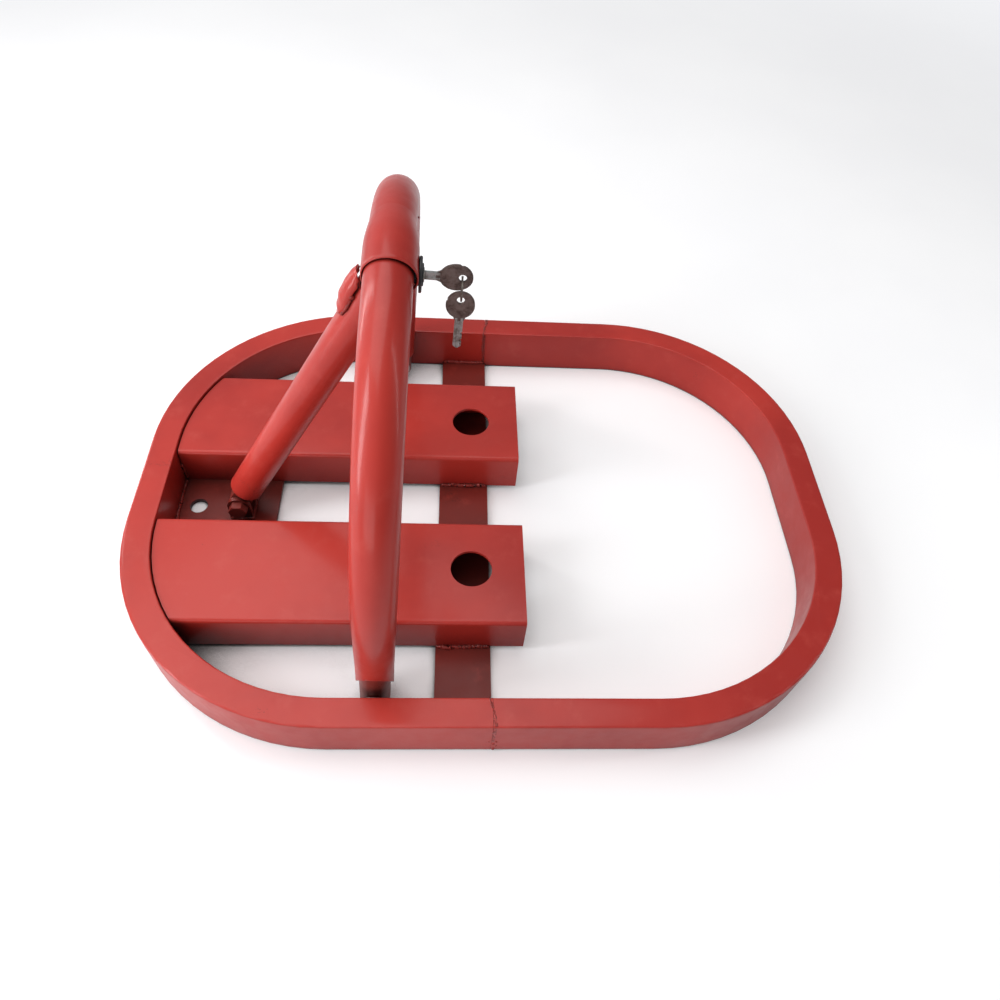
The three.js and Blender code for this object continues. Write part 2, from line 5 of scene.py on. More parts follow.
import bmesh
import bpy
from mathutils import Matrix, Vector


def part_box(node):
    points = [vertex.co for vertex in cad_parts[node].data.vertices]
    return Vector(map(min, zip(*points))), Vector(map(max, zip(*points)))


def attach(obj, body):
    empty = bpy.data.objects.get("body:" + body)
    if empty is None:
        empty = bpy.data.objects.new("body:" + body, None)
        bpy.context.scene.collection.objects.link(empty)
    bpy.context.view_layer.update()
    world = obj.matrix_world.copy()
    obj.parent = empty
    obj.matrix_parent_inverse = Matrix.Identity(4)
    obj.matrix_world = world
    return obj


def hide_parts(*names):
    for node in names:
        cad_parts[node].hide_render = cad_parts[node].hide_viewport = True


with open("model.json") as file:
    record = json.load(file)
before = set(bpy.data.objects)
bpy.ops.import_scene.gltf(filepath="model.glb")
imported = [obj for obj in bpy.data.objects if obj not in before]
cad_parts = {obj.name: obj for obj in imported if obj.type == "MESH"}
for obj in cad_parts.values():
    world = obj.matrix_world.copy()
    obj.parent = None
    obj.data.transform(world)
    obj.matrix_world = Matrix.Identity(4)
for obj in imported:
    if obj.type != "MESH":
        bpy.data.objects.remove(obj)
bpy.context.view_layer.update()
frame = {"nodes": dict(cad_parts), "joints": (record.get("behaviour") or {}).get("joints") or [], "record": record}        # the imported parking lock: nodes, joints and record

# ---- sizes, in millimetres ------------------------------------------------

MM = 0.001

HOOP_RADIUS = 17.5
HOOP_WALL = 2.5
HOOP_RISE = 299.5
FOOT_Y = 204.5
FOOT_Z = 13.0
FOOT_RADIUS = 16.0
NOTCH_TOP = 49.0         # each foot's outer half is cut away on a slant, up to here
TAPER_FROM = 49.0        # the legs are FOOT_RADIUS up to here, and widen over TAPER_LENGTH
TAPER_LENGTH = 110.0

SLEEVE_FROM = -36.0
SLEEVE_TO = -10.0
SLEEVE_OUTER = 20.1
SLEEVE_INNER = 18.7
SLEEVE_SHIFT = 0.8       # the sleeve sits tight on its left side and gapes on its right
SLEEVE_FILLET = 38.0     # length of the filled and painted slope at its far rim

SLOT_RADIUS = 345.0      # the tongue's slot is an arc about the brace's pivot
SLOT_TOP = 297.8
SLOT_Y = (-11.2, -4.8)

RAIL_WIDTH = 26.0
RAIL_HEIGHT = 51.0
RING_HALF_LENGTH = 340.0
RING_HALF_WIDTH = 250.0
RING_CORNER = 200.0
RING_SEAM_X = -2.0

PLATE_TOP = 5.0
BRACE_LEAN = math.radians(30)
BRACE_START = 16.0

KEY_TIP = 6.5
KEY_BOW_X = 47.2
KEY_BOW_HALF = (12.1, 10.8)
KEY_SHOULDER_X = 32.7
KEY_EYE_X = 51.8
KEY_EYE_RADIUS = 3.0
KEY_BLADE_HALF = 3.2
KEY_RING_RADIUS = 8.5
KEY_RING_REST = 1.2      # the ring's middle line hangs this far below the eye's middle

# ---- frames of the moving bodies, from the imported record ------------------

JOINTS = {joint["name"]: joint for joint in frame["joints"]}


def leaning(place, angle):
    return Matrix.Translation(place) @ Matrix.Rotation(angle, 4, "Y")


lock_axis = JOINTS["lock_turn"]["axis"]
HOOP_LEAN = math.atan2(lock_axis[2], -lock_axis[0])
HOOP_PIVOT = Vector(JOINTS["hoop_fold"]["pos_m"])
BRACE_PIVOT = Vector(JOINTS["brace_fold"]["pos_m"])

WORLD = Matrix.Identity(4)
HOOP = leaning(HOOP_PIVOT, HOOP_LEAN)
LOCK = leaning(JOINTS["lock_turn"]["pos_m"], HOOP_LEAN)
BRACE = leaning(BRACE_PIVOT, BRACE_LEAN)

ALONG_X = Matrix.Rotation(math.pi / 2, 4, "Y")
ALONG_Y = Matrix.Rotation(-math.pi / 2, 4, "X")

# ---- camera, light and floor ----------------------------------------------

BACKDROP = (0.96, 0.97, 1.0)
BACKDROP_STRENGTH = 0.95
FLOOR_FADE = (0.6, 2.4)     # metres from the middle, where the floor turns into the backdrop
FLOOR_HALF = 6.0            # metres
FLOOR_GLOW = 0.14           # the floor is this much lit by itself, where the camera sees it


def add_camera():
    """The photograph's view, solved from the outline of the ring."""
    data = bpy.data.cameras.new("camera")
    data.lens = 27.93
    data.sensor_width = 36
    camera = bpy.data.objects.new("camera", data)
    yaw, pitch_down, roll = -0.114, 0.919, 0.111
    turn = Matrix.Rotation(yaw, 4, "Z")
    turn @= Matrix.Rotation(math.pi / 2 - pitch_down, 4, "X")
    turn @= Matrix.Rotation(roll, 4, "Z")
    camera.matrix_world = Matrix.Translation((-0.0437, -0.4798, 0.6575)) @ turn
    bpy.context.scene.collection.objects.link(camera)
    bpy.context.scene.camera = camera


def add_light(name, place, target, size, power, colour=(1, 1, 1)):
    data = bpy.data.lights.new(name, "AREA")
    data.shape = "RECTANGLE"
    data.size, data.size_y = size
    data.energy = power
    data.color = colour
    light = bpy.data.objects.new(name, data)
    light.location = place
    light.rotation_euler = (Vector(target) - Vector(place)).to_track_quat("-Z", "Y").to_euler()
    bpy.context.scene.collection.objects.link(light)


def add_lights():
    """Soft light from above, the left and the front. The surroundings light less from the right."""
    add_light("overhead_softbox", (-0.5, 0.3, 2.2), (0, 0, 0), (2.2, 1.8), 26, (1, 0.985, 0.97))
    add_light("left_softbox", (-1.5, -0.45, 0.75), (-0.1, -0.1, 0.15), (0.4, 1.3), 15, (0.95, 0.97, 1))
    add_light("front_softbox", (-0.9, -2.2, 0.6), (0, 0, 0.1), (1.8, 0.9), 9, (1, 0.99, 0.98))
    add_light("left_strip", (-1.1, 0.6, 0.6), (-0.1, 0, 0.2), (0.1, 1.2), 3.5)
    add_light("right_strip", (0.9, -0.1, 0.7), (-0.1, -0.1, 0.2), (0.06, 1.2), 1.2)
    world = bpy.data.worlds.new("studio")
    world.use_nodes = True
    tree = world.node_tree
    direction = tree.nodes.new("ShaderNodeTexCoord").outputs["Generated"]
    axes = tree.nodes.new("ShaderNodeSeparateXYZ")
    fall = tree.nodes.new("ShaderNodeMapRange")
    fall.inputs["From Min"].default_value = -0.8
    fall.inputs["From Max"].default_value = 0.5
    fall.inputs["To Min"].default_value = 0.75
    fall.inputs["To Max"].default_value = 0.20
    background = tree.nodes["Background"]
    background.inputs["Color"].default_value = (*BACKDROP, 1)
    pale = tree.nodes.new("ShaderNodeMix")
    pale.inputs["B"].default_value = BACKDROP_STRENGTH
    tree.links.new(direction, axes.inputs["Vector"])
    tree.links.new(axes.outputs["X"], fall.inputs["Value"])
    tree.links.new(tree.nodes.new("ShaderNodeLightPath").outputs["Is Camera Ray"], pale.inputs["Factor"])
    tree.links.new(fall.outputs["Result"], pale.inputs["A"])
    tree.links.new(pale.outputs["Result"], background.inputs["Strength"])
    bpy.context.scene.world = world


# ---- material nodes --------------------------------------------------------


class Look:
    """A material and short ways to add the nodes that drive its shader."""

    def __init__(self, name, **shader_values):
        self.material = bpy.data.materials.new(name)
        self.material.use_nodes = True
        self.tree = self.material.node_tree
        self.shader = self.tree.nodes["Principled BSDF"]
        for socket, value in shader_values.items():
            self.shader.inputs[socket.replace("_", " ")].default_value = value
        self.place = self.tree.nodes.new("ShaderNodeTexCoord").outputs["Object"]

    def link(self, output, socket):
        self.tree.links.new(output, socket)

    def drive(self, name, output):
        self.link(output, self.shader.inputs[name])

    def stretched(self, scale):
        node = self.tree.nodes.new("ShaderNodeMapping")
        node.inputs["Scale"].default_value = scale
        self.link(self.place, node.inputs["Vector"])
        return node.outputs["Vector"]

    def noise(self, scale, detail=4.0, roughness=0.55, vector=None):
        node = self.tree.nodes.new("ShaderNodeTexNoise")
        node.inputs["Scale"].default_value = scale
        node.inputs["Detail"].default_value = detail
        node.inputs["Roughness"].default_value = roughness
        self.link(vector or self.place, node.inputs["Vector"])
        return node.outputs["Fac"]

    def cells(self, scale):
        node = self.tree.nodes.new("ShaderNodeTexVoronoi")
        node.inputs["Scale"].default_value = scale
        self.link(self.place, node.inputs["Vector"])
        return node.outputs["Distance"]

    def ramp(self, value, low, high, start=0.0, end=1.0):
        """Takes value from low..high to start..end, smoothly and held at both ends."""
        node = self.tree.nodes.new("ShaderNodeMapRange")
        node.interpolation_type = "SMOOTHSTEP"
        node.inputs["From Min"].default_value = low
        node.inputs["From Max"].default_value = high
        node.inputs["To Min"].default_value = start
        node.inputs["To Max"].default_value = end
        self.link(value, node.inputs["Value"])
        return node.outputs["Result"]

    def math(self, operation, a, b):
        node = self.tree.nodes.new("ShaderNodeMath")
        node.operation = operation
        for socket, value in zip(node.inputs, (a, b)):
            if isinstance(value, (int, float)):
                socket.default_value = value
            else:
                self.link(value, socket)
        return node.outputs["Value"]

    def blend(self, amount, a, b):
        node = self.tree.nodes.new("ShaderNodeMix")
        node.data_type = "RGBA"
        colours = [socket for socket in node.inputs if socket.type == "RGBA"]
        self.link(amount, node.inputs["Factor"])
        for socket, value in zip(colours, (a, b)):
            if isinstance(value, tuple):
                socket.default_value = (*value, 1)
            else:
                self.link(value, socket)
        return next(socket for socket in node.outputs if socket.type == "RGBA")

    def crevices(self, reach, samples=6):
        """1 in the open, towards 0 in corners and gaps narrower than reach metres."""
        node = self.tree.nodes.new("ShaderNodeAmbientOcclusion")
        node.samples = samples
        node.inputs["Distance"].default_value = reach
        return node.outputs["AO"]

    def bumps(self, *layers):
        """Each layer is (height, depth in metres, strength)."""
        normal = None
        for height, depth, strength in layers:
            node = self.tree.nodes.new("ShaderNodeBump")
            node.inputs["Distance"].default_value = depth
            node.inputs["Strength"].default_value = strength
            self.link(height, node.inputs["Height"])
            if normal:
                self.link(normal, node.inputs["Normal"])
            normal = node.outputs["Normal"]
        self.drive("Normal", normal)


RED = (0.48, 0.036, 0.025)
DEEP_RED = (0.35, 0.023, 0.017)
FADED_RED = (0.52, 0.072, 0.055)
DULL_RED = (0.13, 0.020, 0.015)
GRIME_AND_SHADE = (0.050, 0.014, 0.011)
RUST = (0.045, 0.016, 0.009)
INSIDE_SHADE = (0.004, 0.004, 0.005)


def enamel(name, rust_from=0.68, bright=RED, deep=DEEP_RED, rust_size=620, coat=0.30, shade_hollows=True):
    """Brushed-on red enamel, with grime and painted shade in its corners, and painted shade that turns it
    black deep inside hollow pieces. Rust shows past rust_from.
    """
    look = Look(name, Coat_Weight=coat, Coat_Roughness=0.15, Specular_IOR_Level=0.22)
    tone = look.blend(look.ramp(look.noise(5, 5), 0.35, 0.68), bright, deep)
    tone = look.blend(look.ramp(look.noise(38, 8, 0.65), 0.5, 0.82, 0, 0.4), tone, FADED_RED)
    # Grime and painted shade: darker in corners and gaps, broken up by noise.
    corner = look.ramp(look.crevices(0.014), 0.25, 0.85, 0.7, 0)
    grime_and_shade = look.math("MULTIPLY", corner, look.ramp(look.noise(90, 6), 0.25, 0.6, 0.45, 1))
    tone = look.blend(grime_and_shade, tone, GRIME_AND_SHADE)
    patch = look.ramp(look.noise(24, 3), rust_from, rust_from + 0.06)
    speck = look.ramp(look.cells(rust_size), 0.16, 0.30, 1, 0)
    rusty = look.math("MULTIPLY", patch, speck)
    tone = look.blend(rusty, tone, RUST)
    if shade_hollows:
        # Painted shade: near black where the surroundings close in, deep inside hollow pieces and low
        # against the floor.
        inside = look.ramp(look.crevices(0.09), 0.08, 0.27, 1, 0)
        tone = look.blend(inside, tone, INSIDE_SHADE)
    look.drive("Base Color", tone)
    satin = look.ramp(look.noise(60, 6), 0.3, 0.75, 0.30, 0.42)
    look.drive("Roughness", look.math("ADD", satin, look.math("MULTIPLY", rusty, 0.4)))
    look.bumps(
        (look.noise(11, 1), 0.0030, 0.10),
        (look.noise(34, 2), 0.0008, 0.12),
        (look.noise(520, 3), 0.00012, 0.30),
        (rusty, 0.0003, 0.6),
    )
    return look.material


def zinc():
    look = Look("zinc", Metallic=1.0)
    spangle = look.cells(240)
    tone = look.blend(look.ramp(spangle, 0.1, 0.8), (0.56, 0.56, 0.54), (0.40, 0.40, 0.39))
    stain = look.ramp(look.noise(120, 6), 0.52, 0.72, 0, 0.7)
    tone = look.blend(stain, tone, (0.20, 0.12, 0.07))
    # Painted shade: near black in corners and gaps.
    corner = look.ramp(look.crevices(0.020), 0.25, 0.80, 0.9, 0)
    look.drive("Base Color", look.blend(corner, tone, (0.030, 0.020, 0.016)))
    look.drive("Roughness", look.ramp(look.noise(300, 5), 0.3, 0.75, 0.30, 0.55))
    look.bumps((look.noise(900, 4), 0.00006, 0.5))
    return look.material


def black_cast():
    look = Look("black_cast", Specular_IOR_Level=0.5)
    scuff = look.ramp(look.noise(150, 8, 0.7), 0.58, 0.75, 0, 0.6)
    look.drive("Base Color", look.blend(scuff, (0.012, 0.013, 0.015), (0.055, 0.058, 0.062)))
    look.drive("Roughness", look.ramp(look.noise(200, 4), 0.3, 0.7, 0.34, 0.52))
    look.bumps((look.noise(1500, 3), 0.00008, 0.4))
    return look.material


def machined_steel(name, clean, stained, roughness):
    """Steel with fine marks along X, a brown stain, and painted shade in narrow gaps."""
    look = Look(name, Metallic=1.0)
    marks = look.noise(1, 3, 0.6, look.stretched((140, 2600, 2600)))
    stain = look.ramp(look.noise(160, 7, 0.65), 0.38, 0.66)
    tone = look.blend(stain, clean, stained)
    # Painted shade: dark in narrow gaps and corners.
    crevice_shade = look.ramp(look.crevices(0.002), 0.3, 0.95, 0.8, 0)
    look.drive("Base Color", look.blend(crevice_shade, tone, (0.03, 0.02, 0.015)))
    spread = look.ramp(marks, 0.25, 0.75, roughness - 0.08, roughness + 0.1)
    look.drive("Roughness", spread)
    look.bumps((marks, 0.00005, 0.4), (look.noise(700, 5), 0.00008, 0.35))
    return look.material


def pale_floor():
    """A plain pale floor that fades into the backdrop away from the object, with painted shade under the
    covers and against the rails.
    """
    look = Look("pale_floor", Roughness=0.85, Specular_IOR_Level=0.2)
    from_middle = look.tree.nodes.new("ShaderNodeVectorMath")
    from_middle.operation = "LENGTH"
    look.link(look.place, from_middle.inputs[0])
    far = look.ramp(from_middle.outputs["Value"], *FLOOR_FADE)
    mottle = look.ramp(look.noise(3, 5), 0.3, 0.7)
    pale = look.blend(mottle, (0.90, 0.90, 0.905), (0.93, 0.93, 0.93))
    # Painted shade: the floor turns near black under the covers and close in against the rails.
    floor_shade = look.ramp(look.crevices(0.12, 16), 0.12, 0.42, 1, 0)
    shaded = look.blend(floor_shade, pale, (0.02, 0.02, 0.02))
    seen = look.tree.nodes.new("ShaderNodeLightPath").outputs["Is Camera Ray"]
    in_view = look.blend(far, shaded, (0, 0, 0))
    look.drive("Base Color", look.blend(seen, (0.72, 0.72, 0.73), in_view))
    look.drive("Emission Color", look.blend(far, shaded, BACKDROP))
    glow = look.ramp(from_middle.outputs["Value"], *FLOOR_FADE, FLOOR_GLOW, BACKDROP_STRENGTH)
    look.drive("Emission Strength", look.math("MULTIPLY", seen, glow))
    look.bumps((look.noise(220, 4), 0.0002, 0.15))
    return look.material


ENAMEL = enamel("red_enamel")
# A darker, less glossy copy of the red enamel for low parts of the base: partly duller paint, partly painted
# shade.
SHADED_DULL_ENAMEL = enamel("shaded_dull_enamel", 0.56, (0.20, 0.022, 0.016), DULL_RED, coat=0.04)
# A darker copy of the red enamel for the pegs under the feet: partly dirt, partly painted shade.
SHADED_PEG_RED = (0.24, 0.035, 0.026)
SHADED_PEG_ENAMEL = enamel("shaded_peg_enamel", 0.56, SHADED_PEG_RED, (0.15, 0.022, 0.016), coat=0.10, shade_hollows=False)
WELD_ENAMEL = enamel("weld_enamel", 0.44, (0.34, 0.034, 0.026), DULL_RED, 420)
ZINC = zinc()
BLACK = black_cast()
STEEL = machined_steel("lock_steel", (0.46, 0.44, 0.41), (0.27, 0.24, 0.21), 0.34)
KEY_METAL = machined_steel("key_metal", (0.20, 0.155, 0.14), (0.10, 0.072, 0.064), 0.46)
BLADE_METAL = machined_steel("key_blade_metal", (0.40, 0.41, 0.40), (0.20, 0.18, 0.16), 0.36)
RING_STEEL = machined_steel("ring_steel", (0.24, 0.21, 0.185), (0.11, 0.085, 0.07), 0.38)
FLOOR = pale_floor()
# Painted shade for the dark line at the feet's cut ends.
CUT_EDGE_SHADE = enamel("cut_edge_shade", 0.5, (0.030, 0.012, 0.010), (0.018, 0.009, 0.008))

SLOT_MATERIALS = {
    "red_enamel": ENAMEL,
    "zinc_fasteners": ZINC,
    "black_lock": BLACK,
    "lock_steel": STEEL,
    "key_metal": KEY_METAL,
    "ring_steel": RING_STEEL,
}


def add_floor():
    mesh = bpy.data.meshes.new("floor")
    corners = [(x * FLOOR_HALF, y * FLOOR_HALF, 0) for x, y in ((-1, -1), (1, -1), (1, 1), (-1, 1))]
    mesh.from_pydata(corners, [], [(0, 1, 2, 3)])
    floor = bpy.data.objects.new("floor", mesh)
    floor.location.z = -0.0004
    mesh.materials.append(FLOOR)
    bpy.context.scene.collection.objects.link(floor)


# ---- finish of the CAD nodes -------------------------------------------------


SHARP_FROM = 32     # degrees


def smooth_by_angle_group():
    """Geometry nodes that shade a mesh smooth, but keep edges over SHARP_FROM sharp."""
    group = bpy.data.node_groups.new("smooth_by_angle", "GeometryNodeTree")
    group.interface.new_socket("Geometry", in_out="INPUT", socket_type="NodeSocketGeometry")
    group.interface.new_socket("Geometry", in_out="OUTPUT", socket_type="NodeSocketGeometry")
    nodes, links = group.nodes, group.links
    start = nodes.new("NodeGroupInput")
    end = nodes.new("NodeGroupOutput")
    faces = nodes.new("GeometryNodeSetShadeSmooth")
    edges = nodes.new("GeometryNodeSetShadeSmooth")
    edges.domain = "EDGE"
    edges.inputs["Shade Smooth"].default_value = False
    angle = nodes.new("GeometryNodeInputMeshEdgeAngle")
    sharp = nodes.new("FunctionNodeCompare")
    sharp.operation = "GREATER_THAN"
    sharp.inputs[1].default_value = math.radians(SHARP_FROM)
    links.new(angle.outputs["Unsigned Angle"], sharp.inputs[0])
    links.new(start.outputs[0], faces.inputs["Geometry"])
    links.new(faces.outputs["Geometry"], edges.inputs["Geometry"])
    links.new(sharp.outputs["Result"], edges.inputs["Selection"])
    links.new(edges.outputs["Geometry"], end.inputs[0])
    return group


SMOOTH_GROUP = smooth_by_angle_group()


def soften(piece, width):
    """Rounds a piece's edges by width millimetres and shades it smooth, with modifiers only."""
    weld = piece.modifiers.new("weld", "WELD")
    weld.merge_threshold = 1e-6
    if width:
        bevel = piece.modifiers.new("rounded_edges", "BEVEL")
        bevel.width = width * MM
        bevel.segments = 3
        bevel.limit_method = "ANGLE"
        bevel.angle_limit = math.radians(40)
        bevel.harden_normals = False
    smooth = piece.modifiers.new("smooth_by_angle", "NODES")
    smooth.node_group = SMOOTH_GROUP
    flat = piece.modifiers.new("flat_faces", "WEIGHTED_NORMAL")
    flat.keep_sharp = True
    flat.weight = 100


EDGE_ROUNDING = {
    "anchor_plate": 0.7,
    "anchor_cover_front": 0.5,
    "anchor_cover_back": 0.5,
    "brace_tube": 0.5,
    "brace_foot": 0.6,
    "brace_bracket": 0.6,
    "foot_plug_front": 0.6,
    "foot_plug_back": 0.6,
    "lock_tongue": 0.35,
    "lock_cam": 0.3,
}

# CAD nodes whose paint isn't the look of their slot: darker copies of the enamel, partly painted shade.
NODE_LOOKS = {
    "cross_strap": SHADED_DULL_ENAMEL,
    "anchor_plate": SHADED_DULL_ENAMEL,
    "brace_bracket": SHADED_DULL_ENAMEL,
    "brace_foot": SHADED_PEG_ENAMEL,
    "foot_plug_front": SHADED_PEG_ENAMEL,
    "foot_plug_back": SHADED_PEG_ENAMEL,
}


def finish_cad_nodes():
    slots = {part["node"]: part["material_slot"] for part in frame["record"]["subparts"]}
    for name, node in frame["nodes"].items():
        node.data.materials.clear()
        node.data.materials.append(NODE_LOOKS.get(name) or SLOT_MATERIALS[slots[name]])
        soften(node, EDGE_ROUNDING.get(name, 0))


# ---- mesh building ------------------------------------------------------------
# A shell is (points in millimetres, faces). Faces are wound either way: every
# finished mesh has its normals worked out afresh.


def merged(*shells):
    points, faces = [], []
    for more_points, more_faces in shells:
        start = len(points)
        points += [Vector(point) for point in more_points]
        faces += [tuple(index + start for index in face) for face in more_faces]
    return points, faces


def moved(shell, matrix):
    return [matrix @ Vector(point) for point in shell[0]], shell[1]


def lathe(profile, sides=48, closed=False):
    """Turns (height, radius) points about Z. A closed profile makes a ring."""
    points, rows, faces = [], [], []
    for height, radius in profile:
        if radius == 0:
            rows.append([len(points)] * sides)
            points.append(Vector((0, 0, height)))
            continue
        rows.append(list(range(len(points), len(points) + sides)))
        for i in range(sides):
            angle = 2 * math.pi * i / sides
            points.append(Vector((radius * math.cos(angle), radius * math.sin(angle), height)))
    pairs = list(zip(rows, rows[1:])) + ([(rows[-1], rows[0])] if closed else [])
    for low, high in pairs:
        for i in range(sides):
            j = (i + 1) % sides
            corners = dict.fromkeys((low[i], low[j], high[j], high[i]))
            faces.append(tuple(corners))
    return points, faces


def skin(rings, closed=False):
    """Joins equal closed rings of points into a tube, capped unless it closes on itself."""
    sides = len(rings[0])
    points = [point for ring in rings for point in ring]
    faces = []
    count = len(rings)
    for k in range(count if closed else count - 1):
        low, high = k * sides, (k + 1) % count * sides
        for i in range(sides):
            j = (i + 1) % sides
            faces.append((low + i, low + j, high + j, high + i))
    if not closed:
        faces.append(tuple(range(sides)))
        faces.append(tuple(range((count - 1) * sides, count * sides)))
    return points, faces


def prism(outline, low, high):
    """An (x, z) outline drawn out along Y from low to high."""
    return skin([[Vector((x, y, z)) for x, z in outline] for y in (low, high)])


def hexagon(flats, low, high):
    corner = flats / math.sqrt(3)
    outline = [(corner * math.cos(math.pi / 3 * i), corner * math.sin(math.pi / 3 * i)) for i in range(6)]
    return skin([[Vector((x, y, z)) for x, y in outline] for z in (low, high)])


def to_object(name, shell, place):
    mesh = bpy.data.meshes.new(name)
    points = [place @ (Vector(point) * MM) for point in shell[0]]
    mesh.from_pydata(points, [], shell[1])
    fresh = bmesh.new()
    fresh.from_mesh(mesh)
    bmesh.ops.remove_doubles(fresh, verts=fresh.verts, dist=1e-7)
    bmesh.ops.recalc_face_normals(fresh, faces=fresh.faces)
    fresh.to_mesh(mesh)
    fresh.free()
    made = bpy.data.objects.new(name, mesh)
    bpy.context.scene.collection.objects.link(made)
    return made


def carve(made, tool_shell, place, operation="DIFFERENCE"):
    """Cuts made by a closed shell, or with INTERSECT keeps what is inside it."""
    tool = to_object(made.name + "_tool", tool_shell, place)
    boolean = made.modifiers.new("carve", "BOOLEAN")
    boolean.operation = operation
    boolean.solver = "EXACT"
    boolean.object = tool
    bpy.context.view_layer.update()
    carved = bpy.data.meshes.new_from_object(made.evaluated_get(bpy.context.evaluated_depsgraph_get()))
    made.modifiers.clear()
    made.data = carved
    bpy.data.objects.remove(tool)
    return made


def dress(made, body, material, replaces=(), rounding=0, sharp=SHARP_FROM):
    """Gives a finished mesh its material, its shading, its body and the node it stands for."""
    looks = material if isinstance(material, tuple) else (material,)
    kept = [face.material_index for face in made.data.polygons]
    made.data.materials.clear()
    for look in looks:
        made.data.materials.append(look)
    for face, index in zip(made.data.polygons, kept):
        face.material_index = index if len(looks) > 1 else 0
    made.data.shade_smooth()
    made.data.set_sharp_from_angle(angle=math.radians(sharp))
    if rounding:
        soften(made, rounding)
    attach(made, body)
    if replaces:
        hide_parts(*replaces)
    return made


# ---- hoop ------------------------------------------------------------------------

HOOP_CENTRE = HOOP_RISE - FOOT_Y
HOOP_LEG = HOOP_CENTRE - FOOT_Z
HOOP_LENGTH = 2 * HOOP_LEG + math.pi * FOOT_Y


def hoop_station(along):
    """The middle line's point and outward direction, along millimetres from the front foot."""
    if along < HOOP_LEG:
        return Vector((0, -FOOT_Y, FOOT_Z + along)), Vector((0, -1, 0))
    if along > HOOP_LENGTH - HOOP_LEG:
        return Vector((0, FOOT_Y, FOOT_Z + HOOP_LENGTH - along)), Vector((0, 1, 0))
    angle = math.pi - (along - HOOP_LEG) / FOOT_Y
    out = Vector((0, math.cos(angle), math.sin(angle)))
    return Vector((0, 0, HOOP_CENTRE)) + out * FOOT_Y, out


def hoop_taper(along):
    end = FOOT_RADIUS / HOOP_RADIUS
    past = min(along, HOOP_LENGTH - along) + FOOT_Z - TAPER_FROM
    return end + (1 - end) * min(1, max(0, past) / TAPER_LENGTH)


def hoop_ring(along, radius, sides, shift=0.0):
    centre, out = hoop_station(along)
    sideways = Vector((1, 0, 0))
    ring = []
    for i in range(sides):
        angle = 2 * math.pi * i / sides
        ring.append(centre + sideways * (radius * math.cos(angle) + shift) + out * radius * math.sin(angle))
    return ring


def hoop_shell():
    steps, sides = 150, 64
    stations = [HOOP_LENGTH * i / steps for i in range(steps + 1)]
    outer = [hoop_ring(s, HOOP_RADIUS * hoop_taper(s), sides) for s in stations]
    bore = HOOP_RADIUS - HOOP_WALL
    inner = [hoop_ring(s, bore * hoop_taper(s), sides) for s in reversed(stations)]
    lip = 0.5
    outer[0] = hoop_ring(0, HOOP_RADIUS * hoop_taper(0) - lip, sides)
    outer[-1] = hoop_ring(HOOP_LENGTH, HOOP_RADIUS * hoop_taper(0) - lip, sides)
    outer.insert(1, hoop_ring(lip, HOOP_RADIUS * hoop_taper(0), sides))
    outer.insert(-1, hoop_ring(HOOP_LENGTH - lip, HOOP_RADIUS * hoop_taper(0), sides))
    return skin(outer + inner, closed=True)


def tongue_slot():
    """The room that the brace's tongue swings through, as a prism in the hoop's frame."""
    pivot = HOOP.inverted() @ BRACE_PIVOT / MM
    reach, depth, steps = 60.0, 60.0, 60
    outline = [(reach, SLOT_TOP - depth), (-reach, SLOT_TOP - depth)]
    for i in range(steps + 1):
        x = -reach + 2 * reach * i / steps
        rise = math.sqrt(SLOT_RADIUS ** 2 - (x - pivot.x) ** 2)
        outline.append((x, min(SLOT_TOP, pivot.z + rise)))
    return prism(outline, *SLOT_Y)


def foot_notches():
    """What is cut from the outer half of both feet."""
    past = 10.0
    slope = (NOTCH_TOP - FOOT_Z - 1) / FOOT_RADIUS
    far = FOOT_RADIUS + past
    section = [(0, 1), (0, -past), (far, -past), (far, 1 + far * slope)]
    cuts = []
    for side in (-1, 1):
        cuts.append(skin([[Vector((x, side * (FOOT_Y + out), FOOT_Z + up)) for out, up in section]
                          for x in (-far, far)]))
    return merged(*cuts)


def barrel_hole():
    return moved(lathe([(2, 0), (2, 8.3), (30, 8.3), (30, 0)]), ALONG_X)


def along_at_y(y):
    """How far along the hoop's middle line it crosses y, on the front half."""
    return HOOP_LEG + FOOT_Y * (math.pi - math.acos(y / FOOT_Y))


def sleeve_shell():
    """A collar on the hoop: an open rim to the front, and a filled slope at the back."""
    sides = 64
    rim = 0.5
    start, end = along_at_y(SLEEVE_FROM), along_at_y(SLEEVE_TO)
    profile = [
        (start + rim, SLEEVE_INNER),
        (start, SLEEVE_INNER + rim),
        (start, SLEEVE_OUTER - rim),
        (start + rim, SLEEVE_OUTER),
    ]
    steps = 10
    for i in range(1, steps + 1):
        profile.append((start + rim + (end - start - rim) * i / steps, SLEEVE_OUTER))
    for i in range(1, steps + 1):
        share = i / steps
        ease = share * share * (3 - 2 * share)
        fall = (SLEEVE_OUTER - HOOP_RADIUS + 0.15) * ease
        profile.append((end + SLEEVE_FILLET * share, SLEEVE_OUTER - fall))
    profile.append((end + SLEEVE_FILLET, HOOP_RADIUS - 1))
    profile.append((end - 4, HOOP_RADIUS - 1))
    profile.append((end - 4, SLEEVE_INNER))
    for i in range(1, steps):
        profile.append((end - 4 + (start + rim - end + 4) * i / steps, SLEEVE_INNER))
    rings = []
    for along, radius in profile:
        fade = min(1, max(0, (end + SLEEVE_FILLET - along) / (end - start + SLEEVE_FILLET)))
        rings.append(hoop_ring(along, radius, sides, SLEEVE_SHIFT * fade))
    return skin(rings, closed=True)


